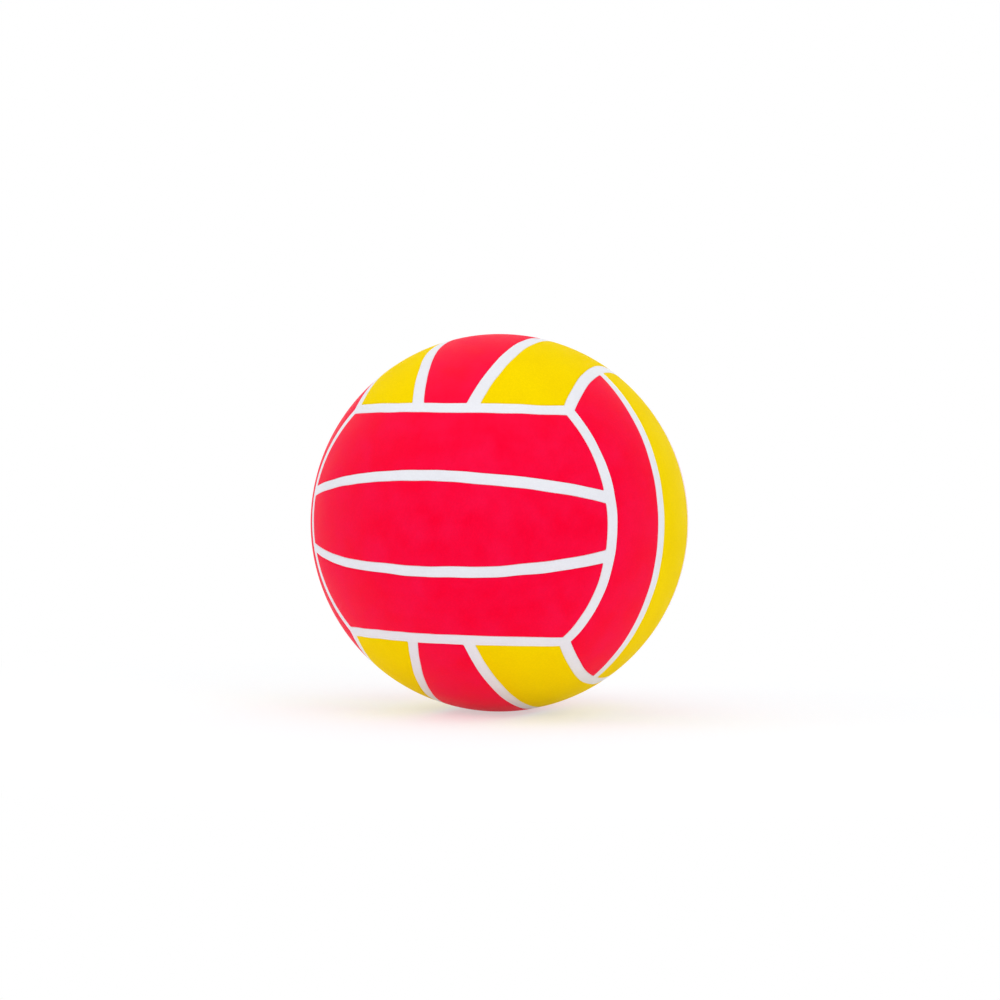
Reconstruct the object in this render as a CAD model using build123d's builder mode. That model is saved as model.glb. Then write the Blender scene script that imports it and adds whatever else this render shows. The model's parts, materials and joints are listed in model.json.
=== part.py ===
from build123d import *

import os
from math import asin, degrees, radians, sqrt, tan

# Water polo ball, in millimetres, with +Z up and the origin at the centre of the ball.
# From the inside out: a butyl bladder with its valve, a nylon thread winding, a white base rubber
# carcass, and eighteen moulded cover panels, three strips to each of six faces. The panels lie in
# shallow pockets of the carcass, whose bare ribs are the white seams. The front face looks along -Y,
# and the valve comes out at +Y, in the middle of the back face.

# Cover and layers
ball_diameter = 170.0
cover_thickness = 1.2
carcass_thickness = 0.7
winding_thickness = 0.5
bladder_thickness = 0.8
cement_line = 0.1

# Seams and panels
seam_width = 5.2
seam_recess = 0.2
middle_strip_width = 40.5
panel_edge_radius = 0.3
panel_corner_ease = 0.15

# Valve core, a rubber plug that takes an inflation needle
core_length = 14.0
core_shank_radius = 3.0
core_head_overhang = 1.0
core_head_thickness = 0.9
core_nose_taper = 0.8
core_end_web = 3.0
core_groove_count = 3
core_groove_width = 1.3
core_groove_depth = 0.25
needle_bore_radius = 1.05
needle_lead_in = 0.75

# Valve housing, bonded to the inside of the bladder
valve_recess = 0.4
core_clearance = 0.05
housing_collar_wall = 1.45
housing_tube_wall = 1.9
housing_tail = 1.0
housing_flange_width = 8.5
housing_flange_thickness = 1.6
housing_flange_edge_radius = 0.5
hole_clearance = 0.1

# A rounded edge takes no more than this share of the wall that it is on
largest_edge_share = 0.8

# Radii of the layers
ball_radius = ball_diameter / 2
panel_bed_radius = ball_radius - cover_thickness
pocket_floor_radius = panel_bed_radius - cement_line
rib_top_radius = ball_radius - seam_recess
carcass_inner_radius = pocket_floor_radius - carcass_thickness
winding_radius = carcass_inner_radius - cement_line
winding_inner_radius = winding_radius - winding_thickness
bladder_radius = winding_inner_radius - cement_line
bladder_inner_radius = bladder_radius - bladder_thickness
cutter_radius = ball_radius + cover_thickness

# Radii of the valve, from its axis outwards
head_radius = core_shank_radius + core_head_overhang
collar_radius = head_radius + core_clearance + housing_collar_wall
valve_hole_radius = collar_radius + hole_clearance

# The faces meet on circles that pass through the corners of a cube, at this latitude
face_latitude = degrees(asin(1 / sqrt(3)))
# The two seams inside a face are great circles, tilted this far from the middle of the face
strip_tilt = degrees(asin(middle_strip_width / 2 / ball_radius))

# Each face: its outward normal, the way its strips run, and its strips' names. The first strip is on
# the side of normal x run, and the last is on the far side.
faces = {
    "front": ((0, -1, 0), (1, 0, 0), ("upper", "middle", "lower")),
    "back": ((0, 1, 0), (-1, 0, 0), ("upper", "middle", "lower")),
    "top": ((0, 0, 1), (0, -1, 0), ("right", "middle", "left")),
    "bottom": ((0, 0, -1), (0, 1, 0), ("right", "middle", "left")),
    "right": ((1, 0, 0), (0, 0, -1), ("rear", "middle", "front")),
    "left": ((-1, 0, 0), (0, 0, 1), ("rear", "middle", "front")),
}
strips = {
    f"{face}_{row_name}_panel": (Vector(normal), Vector(run), row)
    for face, (normal, run, row_names) in faces.items()
    for row, row_name in zip((1, 0, -1), row_names)
}


def strip_block(normal, run, row, inner_radius, outer_radius, edge_gap):
    """A strip between two radii, whose edges keep edge_gap from the middle of the seams round it.

    row is 1, 0 or -1 for the first, middle or last strip of the face."""
    across = normal.cross(run)
    gap_angle = degrees(asin(edge_gap / ball_radius))
    side_latitude = face_latitude - gap_angle
    end_angle = 90 - face_latitude - gap_angle
    band_bottom = -side_latitude if row <= 0 else 0
    band_top = side_latitude if row >= 0 else 0
    with BuildPart() as strip:
        with BuildSketch(Plane((0, 0, 0), x_dir=-run, z_dir=across.cross(run))):
            with BuildLine():
                outer_arc = CenterArc((0, 0), outer_radius, band_bottom, band_top - band_bottom)
                inner_arc = CenterArc((0, 0), inner_radius, band_bottom, band_top - band_bottom)
                Line(inner_arc @ 0, outer_arc @ 0)
                Line(inner_arc @ 1, outer_arc @ 1)
            make_face()
        revolve(axis=Axis((0, 0, 0), across), revolution_arc=180)
        with Locations(Plane((0, 0, 0), x_dir=across, z_dir=normal)):
            Cone(
                0,
                cutter_radius * tan(radians(end_angle)),
                cutter_radius,
                align=(Align.CENTER, Align.CENTER, Align.MIN),
                mode=Mode.INTERSECT,
            )
        for side in (1, -1):
            if side != -row:
                seam_normal = across.rotate(Axis((0, 0, 0), run), -side * strip_tilt) * side
                kept_side = seam_normal if row else -seam_normal
                split(bisect_by=Plane(kept_side * edge_gap, z_dir=kept_side), keep=Keep.TOP)
    return strip.part


def valve_hole():
    """Cuts the valve's way out of the layer in hand, along +Y."""
    with Locations(Plane((0, 0, 0), z_dir=(0, 1, 0))):
        Cylinder(
            valve_hole_radius,
            cutter_radius,
            align=(Align.CENTER, Align.CENTER, Align.MIN),
            mode=Mode.SUBTRACT,
        )


# Bladder: a closed butyl ball with a hole for the valve
with BuildPart() as bladder:
    Sphere(bladder_radius)
    Sphere(bladder_inner_radius, mode=Mode.SUBTRACT)
    valve_hole()

# Thread winding: nylon thread wound over the bladder as one closed layer
with BuildPart() as thread_winding:
    Sphere(winding_radius)
    Sphere(winding_inner_radius, mode=Mode.SUBTRACT)
    valve_hole()

# Carcass: white base rubber, with a pocket for each panel and ribs left standing between them
pocket_gap = seam_width / 2 - cement_line
pockets = [
    strip_block(*strip, pocket_floor_radius, cutter_radius, pocket_gap) for strip in strips.values()
]

with BuildPart() as carcass:
    Sphere(rib_top_radius)
    add(pockets, mode=Mode.SUBTRACT)
    Sphere(carcass_inner_radius, mode=Mode.SUBTRACT)
    valve_hole()

# Valve core: a plug with a flat head, grooves round its shank and a blind hole for the needle
core_top = ball_radius - valve_recess
core_bottom = core_top - core_length
shank_top = core_top - core_head_thickness
shank_bottom = core_bottom + core_nose_taper
groove_pitch = (shank_top - shank_bottom) / (core_groove_count + 1)
needle_bore_bottom = core_bottom + core_end_web

with BuildPart() as valve_core:
    with BuildSketch(Plane.XY):
        with BuildLine():
            Polyline(
                (0, core_bottom),
                (core_shank_radius - core_nose_taper, core_bottom),
                (core_shank_radius, shank_bottom),
                (core_shank_radius, shank_top),
                (head_radius, shank_top),
                (head_radius, core_top),
                (needle_bore_radius + needle_lead_in, core_top),
                (needle_bore_radius, core_top - needle_lead_in),
                (needle_bore_radius, needle_bore_bottom),
                (0, needle_bore_bottom),
                close=True,
            )
        make_face()
    revolve(axis=Axis.Y)
    with BuildSketch(Plane.XY):
        for groove in range(core_groove_count):
            with Locations((core_shank_radius, shank_bottom + groove_pitch * (groove + 1))):
                Rectangle(2 * core_groove_depth, core_groove_width)
    revolve(axis=Axis.Y, mode=Mode.SUBTRACT)

# Valve housing: a collar that ends level with the core, a flange under the bladder and a tube inwards
housing_bottom = core_bottom - housing_tail
bore_radius = core_shank_radius + core_clearance
tube_radius = bore_radius + housing_tube_wall
seat_radius = head_radius + core_clearance
seat_level = shank_top - core_clearance
flange_radius = collar_radius + housing_flange_width
flange_top_radius = bladder_inner_radius - cement_line
flange_bottom_radius = flange_top_radius - housing_flange_thickness
flange_edge = min(housing_flange_edge_radius, largest_edge_share * housing_flange_thickness / 2)


def on_layer(layer_radius, offset):
    """The point of a layer's section at this distance from the valve's axis."""
    return (offset, sqrt(layer_radius**2 - offset**2))


with BuildPart() as valve_housing:
    with BuildSketch(Plane.XY):
        with BuildLine():
            upper_arc = RadiusArc(
                on_layer(flange_top_radius, collar_radius),
                on_layer(flange_top_radius, flange_radius),
                flange_top_radius,
            )
            lower_arc = RadiusArc(
                on_layer(flange_bottom_radius, tube_radius),
                on_layer(flange_bottom_radius, flange_radius),
                flange_bottom_radius,
            )
            Line(upper_arc @ 1, lower_arc @ 1)
            Polyline(
                lower_arc @ 0,
                (tube_radius, housing_bottom),
                (bore_radius, housing_bottom),
                (bore_radius, seat_level),
                (seat_radius, seat_level),
                (seat_radius, core_top),
                (collar_radius, core_top),
                upper_arc @ 0,
            )
        make_face()
    revolve(axis=Axis.Y)
    fillet(valve_housing.edges().sort_by(SortBy.LENGTH)[-2:], flange_edge)

# Cover panels: moulded rubber strips with rounded corners and a rounded outer edge
panel_edge = min(panel_edge_radius, largest_edge_share * cover_thickness)
panel_corner = panel_edge + panel_corner_ease
corner_count = 4
panels = {}
for panel_name, strip in strips.items():
    with BuildPart() as panel:
        add(strip_block(*strip, panel_bed_radius, ball_radius, seam_width / 2))
        fillet(panel.edges().sort_by(SortBy.LENGTH)[:corner_count], panel_corner)
        fillet(panel.faces().sort_by(SortBy.AREA)[-1].edges(), panel_edge)
        if panel_name == "back_middle_panel":
            valve_hole()
    panels[panel_name] = panel

os.makedirs("parts", exist_ok=True)
pieces = {
    "bladder": bladder,
    "thread_winding": thread_winding,
    "carcass": carcass,
    "valve_housing": valve_housing,
    "valve_core": valve_core,
    **panels,
}
for piece_name, piece in pieces.items():
    piece.part.label = piece_name
    export_step(piece.part, f"parts/{piece_name}.step")
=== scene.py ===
import json
from math import acos, asin, atan, cos, exp, hypot, pi, radians, sin, sqrt, tan

import bmesh
import bpy
from mathutils import Matrix, Vector, noise


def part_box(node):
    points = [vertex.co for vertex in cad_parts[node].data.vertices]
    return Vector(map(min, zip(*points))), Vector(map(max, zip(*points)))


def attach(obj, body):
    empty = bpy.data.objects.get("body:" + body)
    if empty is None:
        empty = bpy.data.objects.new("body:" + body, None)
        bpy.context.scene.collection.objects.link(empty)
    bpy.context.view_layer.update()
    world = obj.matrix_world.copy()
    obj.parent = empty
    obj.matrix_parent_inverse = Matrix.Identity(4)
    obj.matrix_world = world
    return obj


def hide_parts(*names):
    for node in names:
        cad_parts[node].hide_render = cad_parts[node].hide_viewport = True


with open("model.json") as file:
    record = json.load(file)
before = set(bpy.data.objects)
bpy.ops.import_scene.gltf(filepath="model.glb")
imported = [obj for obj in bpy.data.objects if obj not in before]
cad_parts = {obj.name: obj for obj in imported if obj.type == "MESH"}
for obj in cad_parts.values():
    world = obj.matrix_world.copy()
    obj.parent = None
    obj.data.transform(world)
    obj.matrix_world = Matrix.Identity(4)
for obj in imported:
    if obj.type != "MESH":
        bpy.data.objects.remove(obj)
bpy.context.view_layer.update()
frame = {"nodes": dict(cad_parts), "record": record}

# Bladder: the moulded butyl ball that holds the air. It is black, with a pale bloom of the talc that keeps
# it from sticking, and lies against the winding, closed by the flange of the valve.
mm = 0.001
butyl_colour = (0.018, 0.018, 0.020)
talc_colour = (0.055, 0.054, 0.052)
pebble_drop = 0.8


def add_node(material, kind, settings=(), **inputs):
    """Adds a shader node. An input is a value, or the output of another node to link from."""
    tree = material.node_tree
    added = tree.nodes.new(kind)
    for setting, value in dict(settings).items():
        setattr(added, setting, value)
    for label, value in inputs.items():
        wanted = label.replace("_", " ").lower()
        socket = next(
            entry
            for entry in added.inputs
            if entry.enabled and entry.name.lower() == wanted
        )
        if isinstance(value, bpy.types.NodeSocket):
            tree.links.new(value, socket)
        else:
            socket.default_value = value
    return added


def start_material(name):
    """An empty material with its output, and the object coordinates that its patterns lie in."""
    material = bpy.data.materials.new(name)
    material.use_nodes = True
    material.node_tree.nodes.clear()
    place = add_node(material, "ShaderNodeTexCoord").outputs["Object"]
    return material, place


def finish_material(material, shader):
    output = add_node(material, "ShaderNodeOutputMaterial", Surface=shader.outputs[0])
    material.node_tree.nodes.active = output
    return material


def opaque(colour):
    return (*colour, 1.0)


def moulded_rubber(
    name,
    colour,
    bloom,
    bloom_size,
    roughness,
    specular,
    grain_size,
    grain_depth,
    gloss_tint=(1.0, 1.0, 1.0),
    smooth_border=0,
    painted_valley_shade=0.03,
):
    """Rubber from a mould: soft patches of bloom in the colour, uneven gloss and a pebbled grain, with
    painted shade that darkens the colour in its valleys by painted_valley_shade.

    roughness is that of the glossiest and of the dullest patches. The grain fades out over smooth_border,
    towards the edge of a piece that holds its edge_distance."""
    material, place = start_material(name)
    patches = add_node(
        material, "ShaderNodeTexNoise", Vector=place, Scale=1 / bloom_size, Detail=4.0, Roughness=0.55
    )
    patch_share = add_node(
        material, "ShaderNodeMapRange", Value=patches.outputs["Fac"], From_Min=0.35, From_Max=0.7
    )
    tint = add_node(
        material,
        "ShaderNodeMix",
        {"data_type": "RGBA"},
        Factor=patch_share.outputs["Result"],
        A=opaque(colour),
        B=opaque(bloom),
    )
    pebbles = add_node(
        material,
        "ShaderNodeTexVoronoi",
        {"feature": "SMOOTH_F1"},
        Vector=place,
        Scale=1 / grain_size,
        Smoothness=0.6,
    )
    pores = add_node(
        material, "ShaderNodeTexNoise", Vector=place, Scale=4 / grain_size, Detail=2.0, Roughness=0.5
    )
    # Painted shade: the colour is darkened in the valleys of the pebbled grain, where shade would fall
    valleys = add_node(
        material,
        "ShaderNodeMapRange",
        Value=pebbles.outputs["Distance"],
        From_Min=0.15,
        From_Max=0.6,
        To_Min=1.0,
        To_Max=1 - painted_valley_shade,
    )
    shaded = add_node(
        material,
        "ShaderNodeMix",
        {"data_type": "RGBA", "blend_type": "MULTIPLY"},
        Factor=1.0,
        A=tint.outputs["Result"],
        B=valleys.outputs["Result"],
    )
    height = add_node(material, "ShaderNodeMath", {"operation": "MULTIPLY_ADD"})
    height.inputs[1].default_value = -pebble_drop
    material.node_tree.links.new(pebbles.outputs["Distance"], height.inputs[0])
    material.node_tree.links.new(pores.outputs["Fac"], height.inputs[2])
    grain_share = 1.0
    if smooth_border:
        border = add_node(material, "ShaderNodeAttribute", {"attribute_name": "edge_distance"})
        fade = add_node(
            material, "ShaderNodeMapRange", Value=border.outputs["Fac"], From_Max=smooth_border
        )
        grain_share = fade.outputs["Result"]
    grain = add_node(
        material, "ShaderNodeBump", Height=height.outputs[0], Strength=grain_share, Distance=grain_depth
    )
    gloss = add_node(
        material,
        "ShaderNodeMapRange",
        Value=patches.outputs["Fac"],
        From_Min=0.3,
        From_Max=0.7,
        To_Min=roughness[0],
        To_Max=roughness[1],
    )
    shader = add_node(
        material,
        "ShaderNodeBsdfPrincipled",
        Base_Color=shaded.outputs["Result"],
        Roughness=gloss.outputs["Result"],
        Specular_IOR_Level=specular,
        Specular_Tint=opaque(gloss_tint),
        Normal=grain.outputs["Normal"],
    )
    return finish_material(material, shader)


def dress_node(node, material):
    """Gives a solid of the frame its finish."""
    slots = frame["nodes"][node].data.materials
    slots.clear()
    slots.append(material)


dress_node(
    "bladder",
    moulded_rubber(
        "butyl",
        butyl_colour,
        talc_colour,
        bloom_size=25 * mm,
        roughness=(0.45, 0.65),
        specular=0.3,
        grain_size=1.5 * mm,
        grain_depth=0.03 * mm,
    ),
)

# Thread winding: nylon thread, wound over the bladder in every direction until it covers it, and set in
# latex. Its turns show as fine ridges that cross each other.
thread_colour = (0.70, 0.68, 0.61)
painted_thread_shade = (0.40, 0.38, 0.33)
thread_pitch = 0.6 * mm
thread_depth = 0.2 * mm
thread_crossings_per_metre = 70.0
winding_turns = ((0.0, 0.0, 0.0), (1.1, 0.4, 0.0), (0.3, 1.2, 0.7))

winding_material, winding_place = start_material("nylon_thread")
# One set of ridges for each way that the thread is wound, the higher one showing at each crossing. The
# wave repeats every pi / 10 over its scale.
thread_height = None
for turn in winding_turns:
    lay = add_node(winding_material, "ShaderNodeMapping", Vector=winding_place, Rotation=turn)
    threads = add_node(
        winding_material,
        "ShaderNodeTexWave",
        {"wave_type": "BANDS", "wave_profile": "SIN"},
        Vector=lay.outputs["Vector"],
        Scale=pi / 10 / thread_pitch,
        Distortion=1.5,
        Detail=1.0,
    )
    crossing = add_node(
        winding_material,
        "ShaderNodeTexNoise",
        Vector=lay.outputs["Vector"],
        Scale=thread_crossings_per_metre,
        Detail=1.0,
    )
    raised = add_node(winding_material, "ShaderNodeMath", {"operation": "MULTIPLY"})
    winding_material.node_tree.links.new(threads.outputs["Fac"], raised.inputs[0])
    winding_material.node_tree.links.new(crossing.outputs["Fac"], raised.inputs[1])
    if thread_height is None:
        thread_height = raised
    else:
        over = add_node(winding_material, "ShaderNodeMath", {"operation": "MAXIMUM"})
        winding_material.node_tree.links.new(thread_height.outputs[0], over.inputs[0])
        winding_material.node_tree.links.new(raised.outputs[0], over.inputs[1])
        thread_height = over
# Painted shade: the thread's colour darkens towards the low places between and under its ridges
thread_tint = add_node(
    winding_material,
    "ShaderNodeMix",
    {"data_type": "RGBA"},
    Factor=thread_height.outputs[0],
    A=opaque(painted_thread_shade),
    B=opaque(thread_colour),
)
thread_relief = add_node(
    winding_material,
    "ShaderNodeBump",
    Height=thread_height.outputs[0],
    Strength=1.0,
    Distance=thread_depth,
)
thread_shader = add_node(
    winding_material,
    "ShaderNodeBsdfPrincipled",
    Base_Color=thread_tint.outputs["Result"],
    Roughness=0.45,
    Sheen_Weight=0.2,
    Normal=thread_relief.outputs["Normal"],
)
dress_node("thread_winding", finish_material(winding_material, thread_shader))

# Valve housing: a boss of soft black rubber. Its flange is bonded under the bladder, its tube reaches into
# the air chamber, and its collar comes out through every layer to the cover.
mounts = {mount["name"]: mount for mount in frame["record"]["mounts"]}
ball_radius = -mounts["rest_point"]["pos_m"][2]
valve_colour = (0.022, 0.022, 0.024)
valve_bloom = (0.040, 0.040, 0.042)
valve_steps = 96
merge_distance = 0.001 * mm
sharp_angle = radians(30)

core_low, core_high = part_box("valve_core")
housing_low, housing_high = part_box("valve_housing")
collar_top = housing_high.y
tube_bottom = housing_low.y
flange_radius = housing_high.x
head_radius = core_high.x
head_thickness = 0.9 * mm
shank_radius = 3.0 * mm
core_clearance = 0.05 * mm
collar_wall = 1.45 * mm
tube_wall = 1.9 * mm
housing_edge = 0.2 * mm
seat_radius = head_radius + core_clearance
bore_radius = shank_radius + core_clearance
seat_level = collar_top - head_thickness - core_clearance
collar_radius = seat_radius + collar_wall
tube_radius = bore_radius + tube_wall
flange_top = 81.4 * mm
flange_bottom = 79.8 * mm
flange_points = 5


def on_layer(layer_radius, offset):
    """The point of a layer's section at this distance from the valve's axis."""
    return (offset, sqrt(layer_radius**2 - offset**2))


def piece_from(name, shape, material):
    """Turns a finished bmesh into a smooth object, creased only where its faces meet sharply."""
    mesh = bpy.data.meshes.new(name)
    shape.to_mesh(mesh)
    shape.free()
    mesh.shade_smooth()
    mesh.set_sharp_from_angle(angle=sharp_angle)
    mesh.materials.append(material)
    piece = bpy.data.objects.new(name, mesh)
    bpy.context.scene.collection.objects.link(piece)
    return piece


def face_outwards(shape):
    """Turns the faces of a closed shape outwards. A thin shell can come out of the operator inside out."""
    bmesh.ops.recalc_face_normals(shape, faces=shape.faces)
    if shape.calc_volume(signed=True) < 0:
        bmesh.ops.reverse_faces(shape, faces=shape.faces)


def turned_shape(outline, edge_radius):
    """A shape turned about the valve's axis from its outline of (radius, height), its edges rounded."""
    shape = bmesh.new()
    corners = [shape.verts.new((radius, height, 0)) for radius, height in outline]
    sides = [
        shape.edges.new((start, end))
        for start, end in zip(corners, corners[1:] + corners[:1])
        if start.co.x > 0 or end.co.x > 0
    ]
    bmesh.ops.spin(
        shape,
        geom=corners + sides,
        cent=(0, 0, 0),
        axis=(0, 1, 0),
        angle=2 * pi,
        steps=valve_steps,
        use_merge=True,
    )
    bmesh.ops.remove_doubles(shape, verts=shape.verts, dist=merge_distance)
    face_outwards(shape)
    rims = [edge for edge in shape.edges if edge.calc_face_angle(0) > sharp_angle]
    bmesh.ops.bevel(
        shape, geom=rims, affect="EDGES", offset=edge_radius, segments=3, profile=0.5, material=-1
    )
    return shape


flange_offsets = [
    collar_radius + (flange_radius - collar_radius) * step / flange_points
    for step in range(flange_points + 1)
]
underside_offsets = [
    flange_radius - (flange_radius - tube_radius) * step / flange_points
    for step in range(flange_points + 1)
]
housing_outline = [
    (bore_radius, tube_bottom),
    (bore_radius, seat_level),
    (seat_radius, seat_level),
    (seat_radius, collar_top),
    (collar_radius, collar_top),
    *(on_layer(flange_top, offset) for offset in flange_offsets),
    *(on_layer(flange_bottom, offset) for offset in underside_offsets),
    (tube_radius, tube_bottom),
]
valve_rubber = moulded_rubber(
    "valve_rubber",
    valve_colour,
    valve_bloom,
    bloom_size=6 * mm,
    roughness=(0.42, 0.58),
    specular=0.4,
    grain_size=0.5 * mm,
    grain_depth=0.01 * mm,
)
housing = piece_from("valve_boss", turned_shape(housing_outline, housing_edge), valve_rubber)
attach(housing, "ball")
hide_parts("valve_housing")

# Valve core: a plug of the same rubber, pushed into the housing and held by its ribbed shank. Its head has
# a small mouth that leads an inflation needle into the blind bore.
needle_radius = mounts["needle_bore"]["dims"]["r_mm"] * mm
needle_mouth = 0.75 * mm
core_top = core_high.y
core_bottom = core_low.y
shank_top = core_top - head_thickness
nose_taper = 0.8 * mm
end_web = 3.0 * mm
groove_count = 3
groove_width = 1.3 * mm
groove_depth = 0.25 * mm
core_edge = 0.1 * mm
shank_bottom = core_bottom + nose_taper
groove_pitch = (shank_top - shank_bottom) / (groove_count + 1)

groove_outline = []
for groove in range(groove_count):
    middle = shank_bottom + groove_pitch * (groove + 1)
    groove_outline += [
        (shank_radius, middle - groove_width / 2),
        (shank_radius - groove_depth, middle - groove_width / 2),
        (shank_radius - groove_depth, middle + groove_width / 2),
        (shank_radius, middle + groove_width / 2),
    ]
core_outline = [
    (0, core_bottom),
    (shank_radius - nose_taper, core_bottom),
    (shank_radius, shank_bottom),
    *groove_outline,
    (shank_radius, shank_top),
    (head_radius, shank_top),
    (head_radius, core_top),
    (needle_radius + needle_mouth, core_top),
    (needle_radius, core_top - needle_mouth),
    (needle_radius, core_bottom + end_web),
    (0, core_bottom + end_web),
]
core = piece_from("valve_stopper", turned_shape(core_outline, core_edge), valve_rubber)
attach(core, "valve_plug")
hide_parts("valve_core")

# Carcass: white base rubber, cured over the winding. It has a shallow pocket for each panel, and the ribs
# left between the pockets are the white seams of the ball, crowned a little and not quite straight.
white_colour = (0.835, 0.842, 0.89)
white_bloom = (0.805, 0.807, 0.855)
face_latitude = asin(1 / sqrt(3))
middle_strip_width = 40.5 * mm
strip_tilt = asin(middle_strip_width / 2 / ball_radius)
edge_seam_width = 5.15 * mm
# Widths of the seams between a face's strips, where they start and where they end
strip_seam_widths = {
    "front": (4.05 * mm, 5.35 * mm),
    "back": (5.3 * mm, 4.9 * mm),
    "top": (5.6 * mm, 5.7 * mm),
    "bottom": (4.9 * mm, 4.8 * mm),
    "right": (5.1 * mm, 5.3 * mm),
    "left": (5.3 * mm, 5.1 * mm),
}
cover_thickness = 1.2 * mm
corner_radius = 0.45 * mm
rib_crown_depth = 0.04 * mm
rib_edge_depth = 0.16 * mm
rib_edge_gap = 0.15 * mm
crown_levels = (0.4, 0.75)
pocket_wall_run = 0.45 * mm
pocket_depth = 1.27 * mm
carcass_inner_radius = 83.0 * mm
hole_clearance = 0.1 * mm
valve_hole_radius = collar_radius + hole_clearance
carcass_cuts = 47
cut_snap = 0.02 * mm
wander_waves = ((26 * mm, 0.45 * mm), (9 * mm, 0.25 * mm))
wander_seed = 11
valve_calm = (10 * mm, 20 * mm)
# Places on the ball where the seams lie off their pattern, and how far
laid_off = (
    ((-0.86, -0.49, 0.15), (-1.5 * mm, 2.5 * mm, 0)),
    ((-0.20, -0.40, 0.89), (-1.8 * mm, 0, 0)),
    ((0.25, -0.50, 0.83), (0.4 * mm, 0, 0)),
    ((-0.15, -0.60, -0.78), (-0.8 * mm, 0, 0)),
    ((0.20, -0.60, -0.77), (0.7 * mm, 0, 0)),
    ((0.75, -0.58, -0.30), (0.5 * mm, 0.8 * mm, 0)),
    ((-0.35, -0.74, -0.58), (0, 0, 0.6 * mm)),
    ((-0.30, -0.76, 0.58), (0, 0, 0.45 * mm)),
)
laid_off_reach = 23 * mm

# Each face: its outward normal, the way its strips run, and its strips' names. The first strip is on the
# side of normal x run, and the last is on the far side.
faces = {
    "front": (Vector((0, -1, 0)), Vector((1, 0, 0)), ("upper", "middle", "lower")),
    "back": (Vector((0, 1, 0)), Vector((-1, 0, 0)), ("upper", "middle", "lower")),
    "top": (Vector((0, 0, 1)), Vector((0, -1, 0)), ("right", "middle", "left")),
    "bottom": (Vector((0, 0, -1)), Vector((0, 1, 0)), ("right", "middle", "left")),
    "right": (Vector((1, 0, 0)), Vector((0, 0, -1)), ("rear", "middle", "front")),
    "left": (Vector((-1, 0, 0)), Vector((0, 0, 1)), ("rear", "middle", "front")),
}

noise.seed_set(wander_seed)


def wander(point):
    """Shifts a point along the ball's surface, as panels laid by hand do, but not beside the valve."""
    shift = Vector()
    for wave_length, sway in wander_waves:
        shift += sway * noise.noise_vector(point / wave_length)
    for place, offset in laid_off:
        away = (point - Vector(place) * ball_radius).length / laid_off_reach
        shift += Vector(offset) * exp(-away * away / 2)
    valve_distance = (point - Vector((0, ball_radius, 0))).length
    share = (valve_distance - valve_calm[0]) / (valve_calm[1] - valve_calm[0])
    shift *= min(1, max(0, share))
    return (point + shift).normalized() * point.length


def in_face(point, face):
    """Whether a point of the ball lies in a face, or on its edge."""
    normal, run, _ = faces[face]
    edge = sin(face_latitude) * point.length
    aside = abs(point.dot(normal.cross(run)))
    return point.dot(normal) > edge - cut_snap and aside < edge + cut_snap


def strip_half_width(face, along):
    """Half the width of the seams between a face's strips, this far along them, from -1 to 1."""
    start, end = strip_seam_widths[face]
    return (start * (1 - along) + end * (1 + along)) / 4


def seam_distances(point, face):
    """How far a point lies inside its panel, from the ends and from the seams along it, each with the
    half width of the seam. It is negative on the rib."""
    normal, run, _ = faces[face]
    across = normal.cross(run)
    direction = point.normalized()
    half_edge = edge_seam_width / 2
    half_strip = strip_half_width(face, direction.dot(run))
    side = direction.dot(across)
    height = direction.dot(normal)
    from_end = ball_radius * (asin(height) - face_latitude) - half_edge
    from_side = ball_radius * (face_latitude - asin(abs(side))) - half_edge
    past_seam = ball_radius * asin(abs(side) * cos(strip_tilt) - height * sin(strip_tilt))
    from_strip = abs(past_seam) - half_strip
    return (from_end, half_edge), min((from_side, half_edge), (from_strip, half_strip))


def rib_depth(distance, half_width):
    """Depth below the cover: crowned on the rib, sloping beside the panel and flat under it."""
    if distance < -rib_edge_gap:
        crown = (half_width + distance) / half_width
        return rib_crown_depth + (rib_edge_depth - rib_crown_depth) * crown**2
    share = min(1, (distance + rib_edge_gap) / (pocket_wall_run + rib_edge_gap))
    return rib_edge_depth + (pocket_depth - rib_edge_depth) * share


def carcass_depth(point):
    """Depth of the carcass below the cover at a point of the ball."""
    face = next(name for name in faces if in_face(point, name))
    end, side = seam_distances(point, face)
    depths = [rib_depth(*end), rib_depth(*side)]
    if max(end[0], side[0]) < corner_radius:
        rounded = corner_radius - hypot(corner_radius - end[0], corner_radius - side[0])
        depths.append(rib_depth(max(rounded, -side[1]), side[1]))
    return min(depths)


def rib_levels(half_width):
    """Where a rib is cut along it, in half widths: on its crown, at its edge and past the pocket wall."""
    return (*crown_levels, 1 - rib_edge_gap / half_width, 1 + pocket_wall_run / half_width)


def cut_seam(shape, region, number, place, direction):
    """Cuts the faces of one region of the ball along a plane, and gives the new lines to that region."""
    cut_faces = [face for face in shape.faces if face[region] == number]
    cut_edges = {edge for face in cut_faces for edge in face.edges}
    cut_corners = {corner for face in cut_faces for corner in face.verts}
    bmesh.ops.bisect_plane(
        shape,
        geom=[*cut_corners, *cut_edges, *cut_faces],
        dist=cut_snap,
        plane_co=place,
        plane_no=direction,
    )


# A ball of even faces, with a smaller copy of it turned inside out for the inner side
carcass_shape = bmesh.new()
region = carcass_shape.faces.layers.int.new("region")
bmesh.ops.create_cube(carcass_shape, size=2)
bmesh.ops.subdivide_edges(
    carcass_shape, edges=carcass_shape.edges, cuts=carcass_cuts, use_grid_fill=True
)
for corner in carcass_shape.verts:
    even = Vector([tan(pi / 4 * value) for value in corner.co])
    corner.co = even.normalized() * ball_radius

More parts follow.
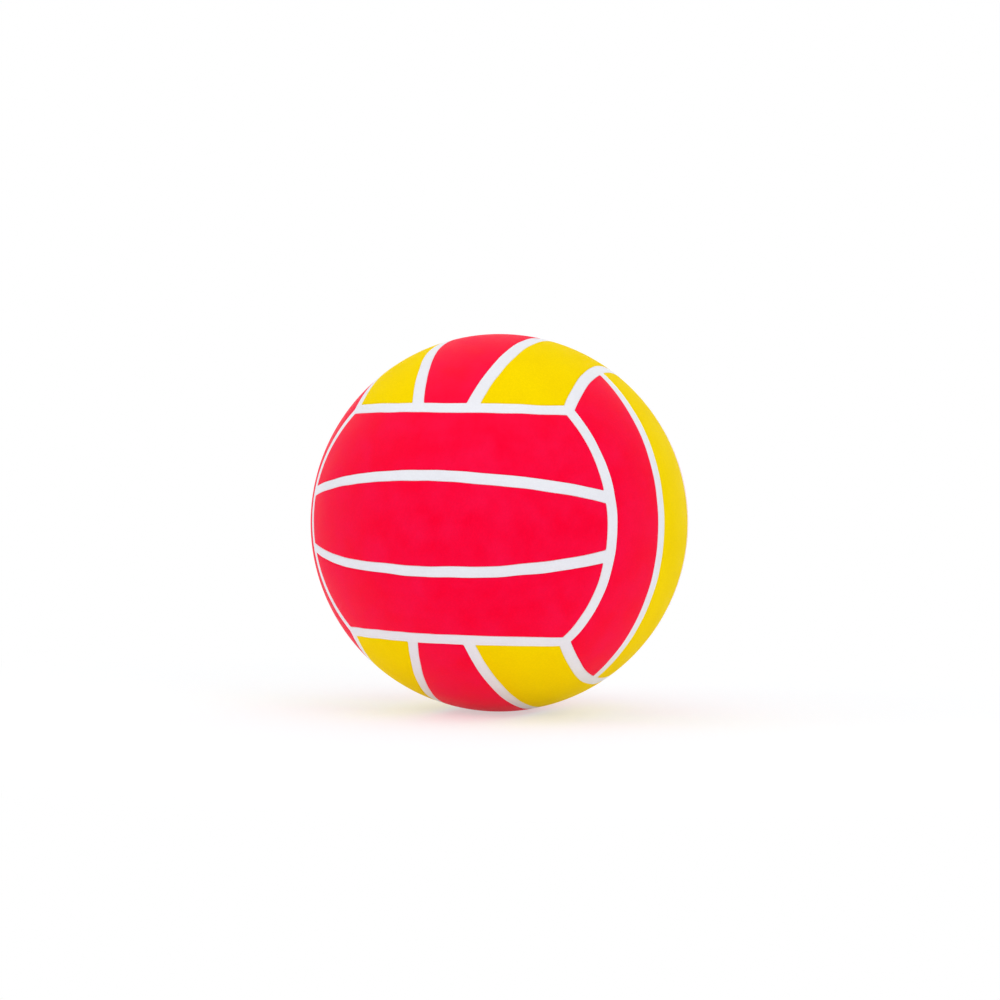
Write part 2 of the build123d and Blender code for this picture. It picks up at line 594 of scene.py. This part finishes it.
lining = bmesh.ops.duplicate(carcass_shape, geom=carcass_shape.faces[:])["geom"]
lining_faces = [part for part in lining if isinstance(part, bmesh.types.BMFace)]
lining_corners = {corner for face in lining_faces for corner in face.verts}
bmesh.ops.reverse_faces(carcass_shape, faces=lining_faces)
for corner in lining_corners:
    corner.co *= carcass_inner_radius / ball_radius

# The outer side is cut along the edges of the ball's six faces, and each part gets its face's number
for face in lining_faces:
    face[region] = -1
for axis in (Vector((1, 0, 0)), Vector((0, 1, 0)), Vector((0, 0, 1))):
    for sign in (1, -1):
        cut_seam(carcass_shape, region, 0, axis * sign * sin(face_latitude) * ball_radius, axis)
for face in carcass_shape.faces:
    if face[region] == 0:
        middle = face.calc_center_median()
        face[region] = 1 + next(number for number, name in enumerate(faces) if in_face(middle, name))

# Each face is cut along its ribs, and the ribs then stand out from the pockets between them
for number, (face_name, (normal, run, _)) in enumerate(faces.items(), start=1):
    across = normal.cross(run)
    half_edge = edge_seam_width / 2
    half_strip = strip_half_width(face_name, 0)
    widening = strip_half_width(face_name, 1) - half_strip
    for level in rib_levels(half_edge):
        gap_angle = level * half_edge / ball_radius
        end_height = ball_radius * sin(face_latitude + gap_angle)
        side_height = ball_radius * sin(face_latitude - gap_angle)
        cut_seam(carcass_shape, region, number, normal * end_height, normal)
        for side in (1, -1):
            cut_seam(carcass_shape, region, number, across * side * side_height, across)
    for side in (1, -1):
        tilted = across * side * cos(strip_tilt) - normal * sin(strip_tilt)
        for level in (0, *rib_levels(half_strip)):
            for way in (level, -level) if level else (level,):
                turned = tilted - run * way * widening / ball_radius
                cut_seam(carcass_shape, region, number, tilted * way * half_strip, turned)

for corner in carcass_shape.verts:
    if corner not in lining_corners:
        direction = corner.co.normalized()
        depth = carcass_depth(direction * ball_radius)
        corner.co = wander(direction * ball_radius) * (1 - depth / ball_radius)
carcass_shape.faces.layers.int.remove(region)

white_rubber = moulded_rubber(
    "white_rubber",
    white_colour,
    white_bloom,
    bloom_size=18 * mm,
    roughness=(0.45, 0.6),
    specular=0.3,
    grain_size=0.9 * mm,
    grain_depth=0.012 * mm,
)
carcass = piece_from("white_carcass", carcass_shape, white_rubber)

# The hole for the valve is drilled, and the slivers that drilling leaves are merged away
drill_shape = bmesh.new()
bmesh.ops.create_cone(
    drill_shape,
    cap_ends=True,
    segments=valve_steps,
    radius1=valve_hole_radius,
    radius2=valve_hole_radius,
    depth=ball_radius,
    matrix=Matrix.Translation((0, ball_radius, 0)) @ Matrix.Rotation(pi / 2, 4, "X"),
)
drill = piece_from("drill", drill_shape, white_rubber)
drilling = carcass.modifiers.new("valve_hole", "BOOLEAN")
drilling.object = drill
drilling.operation = "DIFFERENCE"
drilling.solver = "MANIFOLD"
drilled = bpy.data.meshes.new_from_object(carcass.evaluated_get(bpy.context.evaluated_depsgraph_get()))
carcass.modifiers.clear()
bpy.data.objects.remove(drill)
drilled_shape = bmesh.new()
drilled_shape.from_mesh(drilled)
bmesh.ops.remove_doubles(drilled_shape, verts=drilled_shape.verts, dist=merge_distance)
bmesh.ops.dissolve_degenerate(drilled_shape, edges=drilled_shape.edges, dist=merge_distance)
drilled_shape.to_mesh(drilled)
drilled_shape.free()
carcass.data = drilled
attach(carcass, "ball")
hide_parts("carcass")

# Cover panels: eighteen strips of coloured grip rubber, three to a face, moulded with a rounded edge and a
# finely pebbled skin. They are cemented into the pockets of the carcass.
red_colour = (0.99, 0.0004, 0.032)
red_bloom = (0.985, 0.004, 0.054)
red_gloss = (1.0, 0.35, 1.0)
red_shine = 0.055
yellow_colour = (0.96, 0.70, 0.0005)
yellow_bloom = (0.94, 0.675, 0.001)
yellow_gloss = (1.0, 0.95, 0.2)
yellow_shine = 0.005
yellow_panels = (
    "top_left_panel",
    "top_right_panel",
    "bottom_left_panel",
    "bottom_right_panel",
    "right_middle_panel",
    "left_middle_panel",
)
edge_round = 0.3 * mm
edge_pillow = 0.06 * mm
pillow_reach = 5.0 * mm
foot_inset = 0.5 * mm
grid_spacing = 2.2 * mm
round_steps = 4
# Distances of a panel's grid lines from its edges: close on the rounded edge, and wider behind it
edge_levels = [edge_round * (1 - cos(pi / 2 * step / round_steps)) for step in range(round_steps + 1)]
edge_levels += [1.2 * mm, 2.2 * mm, 3.6 * mm]
settling_rounds = 8
valve_ring = valve_hole_radius + 2.2 * mm
valve_window = valve_ring + 0.8 * mm
lip_round = 0.4 * mm
cover_finish = {
    rubber: moulded_rubber(
        rubber,
        colour,
        bloom,
        bloom_size=14 * mm,
        roughness=(0.46, 0.58),
        specular=shine,
        grain_size=0.95 * mm,
        grain_depth=0.05 * mm,
        gloss_tint=gloss,
        smooth_border=1.0 * mm,
        painted_valley_shade=0.04,
    )
    for rubber, colour, bloom, shine, gloss in (
        ("red_rubber", red_colour, red_bloom, red_shine, red_gloss),
        ("yellow_rubber", yellow_colour, yellow_bloom, yellow_shine, yellow_gloss),
    )
}


def end_longitude(latitude, distance):
    """Where a strip ends on this latitude of its face, less a distance."""
    height = sin(face_latitude + (edge_seam_width / 2 + distance) / ball_radius)
    return acos(min(1, height / cos(latitude)))


def seam_latitude(longitude, face, way, distance):
    """The latitude on this longitude of one edge of a seam between strips, and a distance beyond it.

    way is 1 for the outer edge of the seam and -1 for the edge beside the middle strip."""
    lean = cos(longitude) * tan(strip_tilt)
    along = sin(longitude) * cos(atan(lean))
    offset = way * (strip_half_width(face, along) + distance)
    steepness = sqrt(cos(strip_tilt) ** 2 + (cos(longitude) * sin(strip_tilt)) ** 2)
    return atan(lean) + asin(offset / ball_radius / steepness)


def side_latitude(longitude, face, row, side, distance):
    """The latitude of one side of a strip, less a distance. row is 1, 0 or -1, from the first strip on."""
    if side == row:
        return side * (face_latitude - (edge_seam_width / 2 + distance) / ball_radius)
    if row:
        return row * seam_latitude(longitude, face, 1, distance)
    return side * seam_latitude(longitude, face, -1, distance)


def grid_line(number, count):
    """A line of a panel's grid: its side and distance from that edge, or its share of the way between."""
    levels = len(edge_levels)
    if number < levels:
        return -1, edge_levels[number], None
    if number > count - levels:
        return 1, edge_levels[count - number], None
    return 0, edge_levels[-1], (number - levels + 1) / (count - 2 * levels + 2)


def skin_depth(distance):
    """Depth of a panel's skin below the ball's surface, this far from its edge."""
    rounded = max(0, edge_round - distance)
    pillow = max(0, 1 - distance / pillow_reach)
    return edge_round - sqrt(edge_round**2 - rounded**2) + edge_pillow * pillow**2


def panel_point(face, row, column_line, row_line, on_top):
    """The place of a grid point of a panel, on its skin or on its foot, and its distance from the edge.

    Its latitude and its longitude depend on each other, so they are settled in a few rounds."""
    column_side, column_distance, column_share = column_line
    row_side, row_distance, row_share = row_line
    distance = min(column_distance, row_distance)
    if not on_top:
        shrink = 1 - foot_inset / edge_levels[-1]
        column_distance = foot_inset + column_distance * shrink
        row_distance = foot_inset + row_distance * shrink
    corner = corner_radius if on_top else corner_radius + foot_inset
    if column_side and row_side and max(column_distance, row_distance) < corner:
        along = corner - column_distance
        aside = corner - row_distance
        pull = max(along, aside) / hypot(along, aside)
        column_distance = corner - pull * along
        row_distance = corner - pull * aside
    longitude = 0
    for _ in range(settling_rounds):
        if row_side:
            latitude = side_latitude(longitude, face, row, row_side, row_distance)
        else:
            low = side_latitude(longitude, face, row, -1, row_distance)
            high = side_latitude(longitude, face, row, 1, row_distance)
            latitude = low + (high - low) * row_share
        reach = end_longitude(latitude, column_distance)
        longitude = reach * (column_side or 2 * column_share - 1)
    normal, run, _ = faces[face]
    direction = (
        run * cos(latitude) * sin(longitude)
        + normal.cross(run) * sin(latitude)
        + normal * cos(latitude) * cos(longitude)
    )
    depth = skin_depth(distance) if on_top else cover_thickness
    return wander(direction * ball_radius) * (1 - depth / ball_radius), distance


def panel_shape(face, row):
    """A panel as a closed shell: a grid for its foot, raised to make its skin and its edge."""
    shape = bmesh.new()
    edge_distance = shape.verts.layers.float.new("edge_distance")
    levels = len(edge_levels)
    length = 2 * ball_radius * end_longitude(row * 2 * strip_tilt, edge_levels[-1])
    width = middle_strip_width - 2 * edge_levels[-1]
    columns = 2 * levels + round(length / grid_spacing)
    rows = 2 * levels + round(width / grid_spacing)
    bmesh.ops.create_grid(shape, x_segments=columns, y_segments=rows, size=1)
    raised = bmesh.ops.extrude_face_region(shape, geom=shape.faces[:], use_keep_orig=True)["geom"]
    skin = {part for part in raised if isinstance(part, bmesh.types.BMVert)}
    for corner in shape.verts:
        column_line = grid_line(round((corner.co.x + 1) / 2 * columns), columns)
        row_line = grid_line(round((corner.co.y + 1) / 2 * rows), rows)
        corner.co, corner[edge_distance] = panel_point(face, row, column_line, row_line, corner in skin)
    face_outwards(shape)
    return shape


def open_for_valve(shape):
    """Opens the panel round the valve: a window in its grid, filled up to the hole by a turned lip."""
    window = [
        face
        for face in shape.faces
        if face.calc_center_median().y > 0
        and max(abs(face.calc_center_median().x), abs(face.calc_center_median().z)) < valve_window
    ]
    bmesh.ops.delete(shape, geom=window, context="FACES")
    lip = [on_layer(ball_radius, valve_ring)]
    for step in range(round_steps + 1):
        angle = pi / 2 * step / round_steps
        offset = valve_hole_radius + lip_round * (1 - sin(angle))
        lip.append(on_layer(ball_radius - lip_round * (1 - cos(angle)), offset))
    foot_radius = ball_radius - cover_thickness
    lip += [on_layer(foot_radius, valve_hole_radius), on_layer(foot_radius, valve_ring)]
    corners = [shape.verts.new((radius, height, 0)) for radius, height in lip]
    sides = [shape.edges.new(pair) for pair in zip(corners, corners[1:])]
    bmesh.ops.spin(
        shape,
        geom=corners + sides,
        cent=(0, 0, 0),
        axis=(0, 1, 0),
        angle=2 * pi,
        steps=valve_steps // 2,
        use_merge=True,
    )
    edge_distance = shape.verts.layers.float["edge_distance"]
    for corner in shape.verts:
        if corner.co.y > 0 and hypot(corner.co.x, corner.co.z) < valve_ring + merge_distance:
            corner[edge_distance] = hypot(corner.co.x, corner.co.z) - valve_hole_radius
    middle_radius = ball_radius - cover_thickness / 2
    for above in (True, False):
        rims = [
            edge
            for edge in shape.edges
            if edge.is_boundary and (edge.verts[0].co.length > middle_radius) == above
        ]
        bmesh.ops.bridge_loops(shape, edges=rims)
    face_outwards(shape)


for face_name, (_, _, row_names) in faces.items():
    for row, row_name in zip((1, 0, -1), row_names):
        node = f"{face_name}_{row_name}_panel"
        shape = panel_shape(face_name, row)
        if node == "back_middle_panel":
            open_for_valve(shape)
        rubber = "yellow_rubber" if node in yellow_panels else "red_rubber"
        panel = piece_from(f"{face_name}_{row_name}_cover", shape, cover_finish[rubber])
        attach(panel, "ball")
        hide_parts(node)

# Floor: a plain white sweep under the ball. It keeps the ball's shadow, and away from the ball it turns to
# the white of the background.
floor_size = 8.0
floor_colour = (0.92, 0.955, 0.985)
floor_light = 0.11
shadow_reach = (0.10, 0.35)
white_beside_ball = 0.45
floor_shape = bmesh.new()
bmesh.ops.create_grid(floor_shape, x_segments=8, y_segments=8, size=floor_size / 2)
for corner in floor_shape.verts:
    corner.co.z = -ball_radius
floor_material, floor_place = start_material("white_sweep")
floor_distance = add_node(floor_material, "ShaderNodeVectorMath", {"operation": "LENGTH"})
floor_material.node_tree.links.new(floor_place, floor_distance.inputs[0])
floor_fade = add_node(
    floor_material,
    "ShaderNodeMapRange",
    Value=floor_distance.outputs["Value"],
    From_Min=shadow_reach[0],
    From_Max=shadow_reach[1],
    To_Min=white_beside_ball,
    To_Max=1.0,
)
floor_rays = add_node(floor_material, "ShaderNodeLightPath")
floor_seen = add_node(floor_material, "ShaderNodeMath", {"operation": "MAXIMUM"})
floor_material.node_tree.links.new(floor_rays.outputs["Is Camera Ray"], floor_seen.inputs[0])
floor_material.node_tree.links.new(floor_rays.outputs["Is Glossy Ray"], floor_seen.inputs[1])
floor_white = add_node(floor_material, "ShaderNodeMath", {"operation": "MULTIPLY"})
floor_material.node_tree.links.new(floor_fade.outputs["Result"], floor_white.inputs[0])
floor_material.node_tree.links.new(floor_seen.outputs[0], floor_white.inputs[1])
floor_matte = add_node(
    floor_material,
    "ShaderNodeBsdfPrincipled",
    Base_Color=opaque(floor_colour),
    Roughness=0.9,
    Specular_IOR_Level=0.1,
    Emission_Color=(1, 1, 1, 1),
    Emission_Strength=floor_light,
)
floor_glow = add_node(floor_material, "ShaderNodeEmission", Strength=1.0)
floor_mix = add_node(floor_material, "ShaderNodeMixShader")
floor_material.node_tree.links.new(floor_white.outputs[0], floor_mix.inputs[0])
floor_material.node_tree.links.new(floor_matte.outputs[0], floor_mix.inputs[1])
floor_material.node_tree.links.new(floor_glow.outputs[0], floor_mix.inputs[2])
floor = piece_from("floor", floor_shape, finish_material(floor_material, floor_mix))

# Light: an even white studio. The room lights the ball softly from all round, large lamps above it give it
# form, and two weak upright lamps behind it lighten its outline.
room_level = 0.66
world = bpy.data.worlds.new("studio")
bpy.context.scene.world = world
world.use_nodes = True
world.node_tree.nodes.clear()
room_rays = add_node(world, "ShaderNodeLightPath")
room_mirror = add_node(world, "ShaderNodeMath", {"operation": "MAXIMUM"})
world.node_tree.links.new(room_rays.outputs["Is Glossy Ray"], room_mirror.inputs[0])
world.node_tree.links.new(room_rays.outputs["Is Transmission Ray"], room_mirror.inputs[1])
room_seen = add_node(world, "ShaderNodeMath", {"operation": "MAXIMUM"})
world.node_tree.links.new(room_rays.outputs["Is Camera Ray"], room_seen.inputs[0])
world.node_tree.links.new(room_mirror.outputs[0], room_seen.inputs[1])
room_light = add_node(world, "ShaderNodeBackground", Color=(1, 1, 1, 1), Strength=room_level)
room_white = add_node(world, "ShaderNodeBackground", Color=(1, 1, 1, 1), Strength=1.0)
room_mix = add_node(world, "ShaderNodeMixShader")
world.node_tree.links.new(room_seen.outputs[0], room_mix.inputs[0])
world.node_tree.links.new(room_light.outputs[0], room_mix.inputs[1])
world.node_tree.links.new(room_white.outputs[0], room_mix.inputs[2])
add_node(world, "ShaderNodeOutputWorld", Surface=room_mix.outputs[0])


def hang_lamp(name, place, size, power):
    """A rectangular lamp of this width and height, in metres, turned to the ball."""
    lamp = bpy.data.lights.new(name, "AREA")
    lamp.shape = "RECTANGLE"
    lamp.size, lamp.size_y = size
    lamp.energy = power
    stand = bpy.data.objects.new(name, lamp)
    stand.location = place
    stand.rotation_euler = Vector(place).to_track_quat("Z", "Y").to_euler()
    stand.visible_camera = False
    bpy.context.scene.collection.objects.link(stand)


hang_lamp("overhead_lamp", (0.1, -0.2, 1.1), (1.0, 1.0), 3.0)
hang_lamp("left_lamp", (-0.9, -0.8, 0.7), (0.6, 0.8), 2.6)
hang_lamp("right_lamp", (1.0, -0.7, 0.6), (0.6, 0.8), 2.6)
hang_lamp("left_rear_lamp", (-0.86, 0.68, 0.35), (0.25, 1.0), 0.4)
hang_lamp("right_rear_lamp", (0.24, 1.07, 0.2), (0.25, 1.2), 1.2)

# Camera: at the photograph's height and angle, turned a little about its own line of sight. The ball's
# centre and outline are placed on the photograph's own pixels.
picture_size = 1000
ball_pixel = (499.4, 522.6)
outline_pixels = 188.8
camera_azimuth = radians(20.9)
camera_height = radians(0.81)
camera_roll = radians(1.12)
camera_distance = 11.95 * ball_radius
sensor_width = 36.0

focal_pixels = outline_pixels * sqrt((camera_distance / ball_radius) ** 2 - 1)
toward = Vector(
    (
        sin(camera_azimuth) * cos(camera_height),
        -cos(camera_azimuth) * cos(camera_height),
        sin(camera_height),
    )
)
level_right = Vector((cos(camera_azimuth), sin(camera_azimuth), 0))
level_up = toward.cross(level_right)
picture_right = level_right * cos(camera_roll) + level_up * sin(camera_roll)
picture_up = level_up * cos(camera_roll) - level_right * sin(camera_roll)
facing = Matrix((picture_right, picture_up, toward)).transposed()
tilt_up = atan((ball_pixel[1] - picture_size / 2) / focal_pixels)
turn_right = atan((picture_size / 2 - ball_pixel[0]) / focal_pixels)
facing = facing @ Matrix.Rotation(tilt_up, 3, "X") @ Matrix.Rotation(-turn_right, 3, "Y")
camera_data = bpy.data.cameras.new("camera")
camera_data.sensor_width = sensor_width
camera_data.lens = focal_pixels * sensor_width / picture_size
camera = bpy.data.objects.new("camera", camera_data)
camera.matrix_world = Matrix.Translation(toward * camera_distance) @ facing.to_4x4()
bpy.context.scene.collection.objects.link(camera)
bpy.context.scene.camera = camera
bpy.context.scene.view_settings.view_transform = "Standard"
